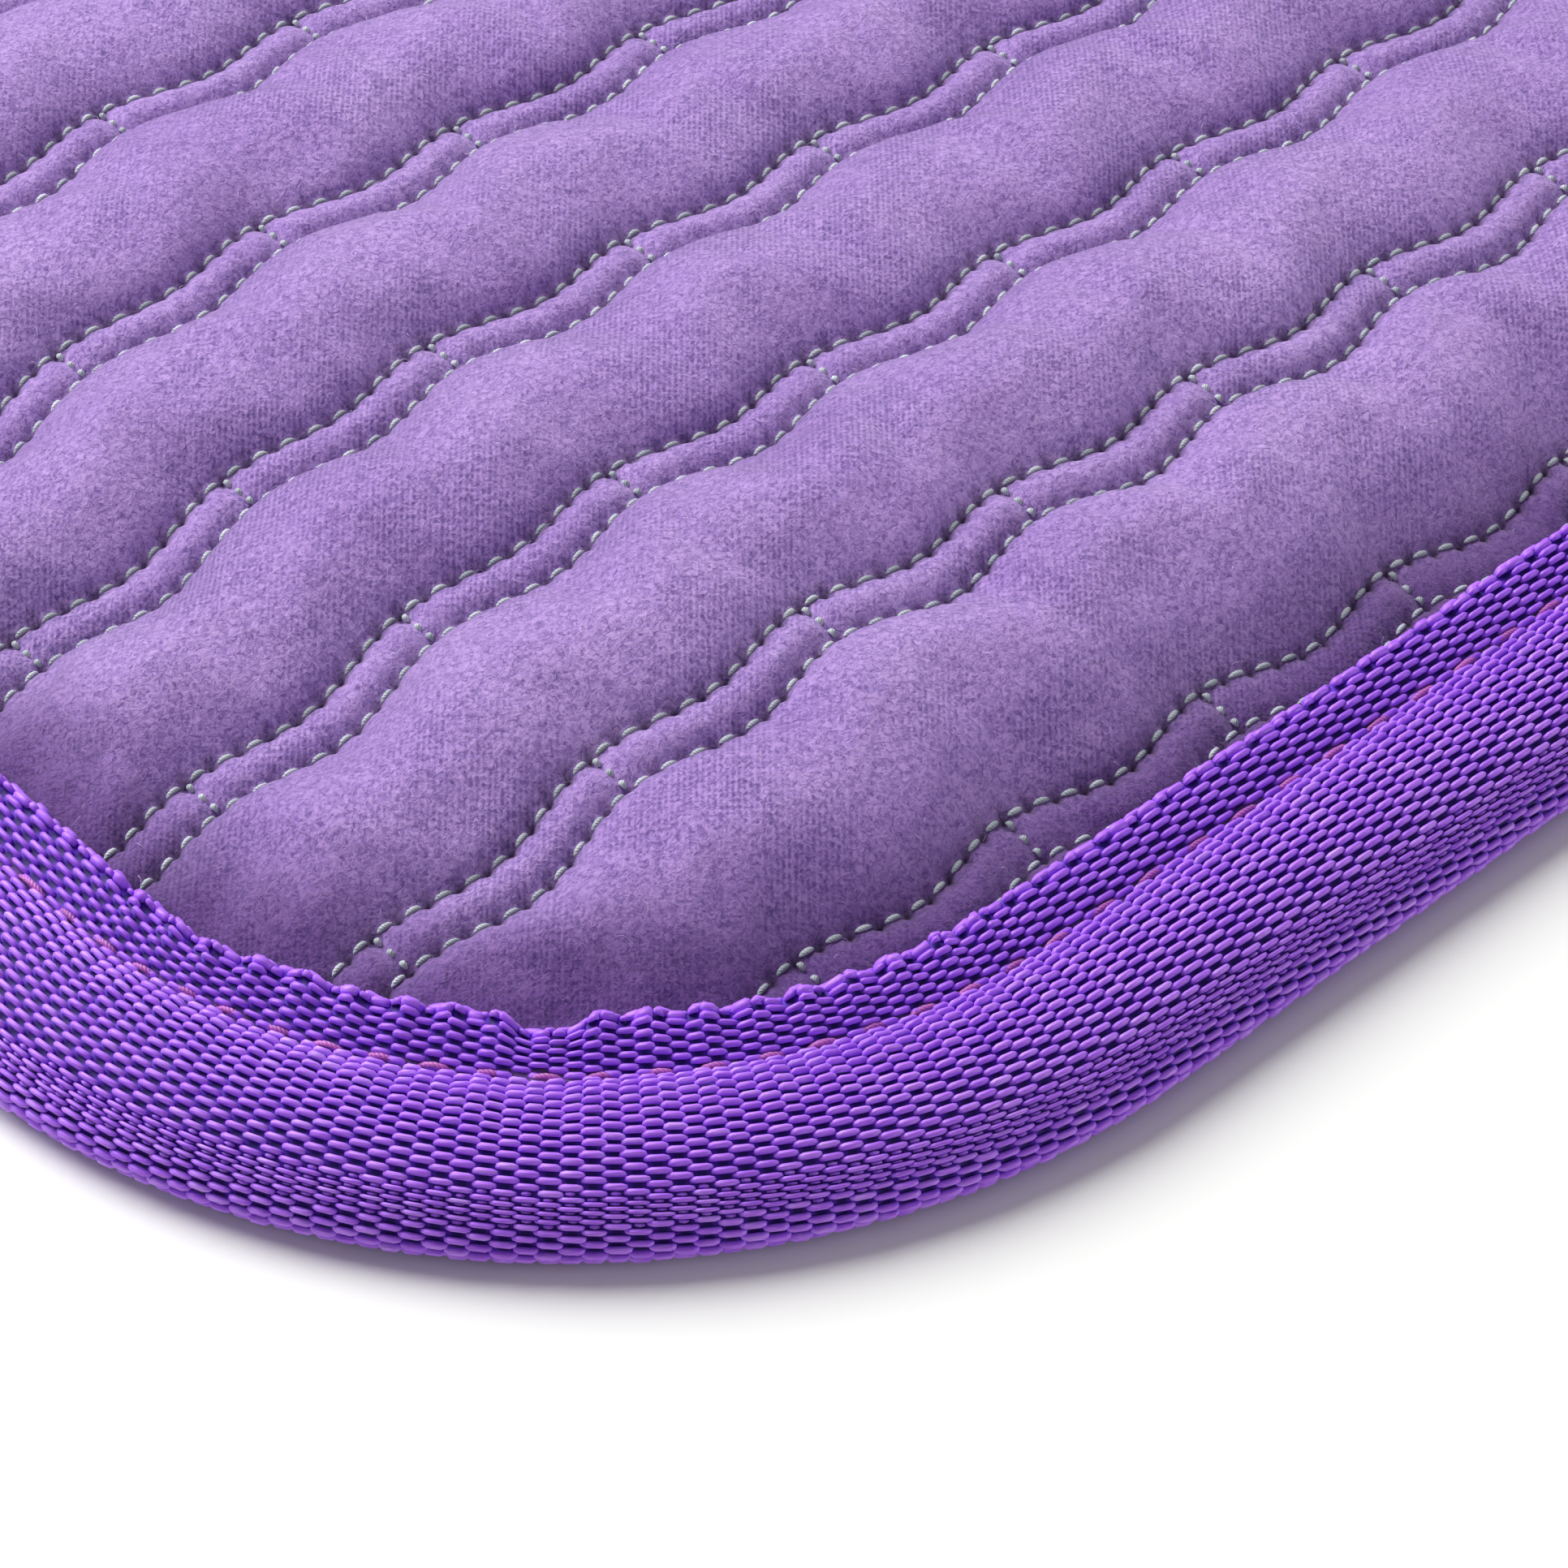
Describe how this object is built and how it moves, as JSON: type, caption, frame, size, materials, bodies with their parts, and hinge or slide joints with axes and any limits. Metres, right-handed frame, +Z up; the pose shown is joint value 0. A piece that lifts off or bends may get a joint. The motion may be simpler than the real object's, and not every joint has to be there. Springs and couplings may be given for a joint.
{
  "type": "quilted kneeling pad",
  "caption": "Low padded mat with a puffed velour top quilted in wavy ladder seams over a foam core, its rounded outline bound with folded webbing tape.",
  "frame": {"origin": "middle of the underside, on the ground", "axes": "+X along the quilting rows and the pad's long side, +Y across the rows, +Z up"},
  "size_m": [0.45, 0.28, 0.0229],
  "materials": {
    "velour": "short-pile lilac velour with a soft sheen",
    "webbing": "violet plain-weave synthetic webbing tape",
    "quilt_thread": "grey-green polyester sewing thread",
    "binding_thread": "rosy pink polyester sewing thread",
    "wadding": "white polyester fibre wadding",
    "lining": "thin off-white non-woven scrim",
    "foam": "closed-cell polyethylene foam",
    "backing": "dark violet foam-backed woven cloth"
  },
  "bodies": {
    "root": {"top_cover": "velour", "quilt_wadding": "wadding", "quilt_lining": "lining", "foam_core": "foam", "backing_cover": "backing", "edge_binding": "webbing", "binding_needle_thread": "binding_thread", "binding_bobbin_thread": "binding_thread", "quilt_stitching_01": "quilt_thread", "quilt_stitching_02": "quilt_thread", "quilt_stitching_03": "quilt_thread", "quilt_stitching_04": "quilt_thread", "quilt_stitching_05": "quilt_thread", "quilt_stitching_06": "quilt_thread", "quilt_stitching_07": "quilt_thread", "quilt_stitching_08": "quilt_thread", "quilt_stitching_09": "quilt_thread"}
  },
  "joints": []
}
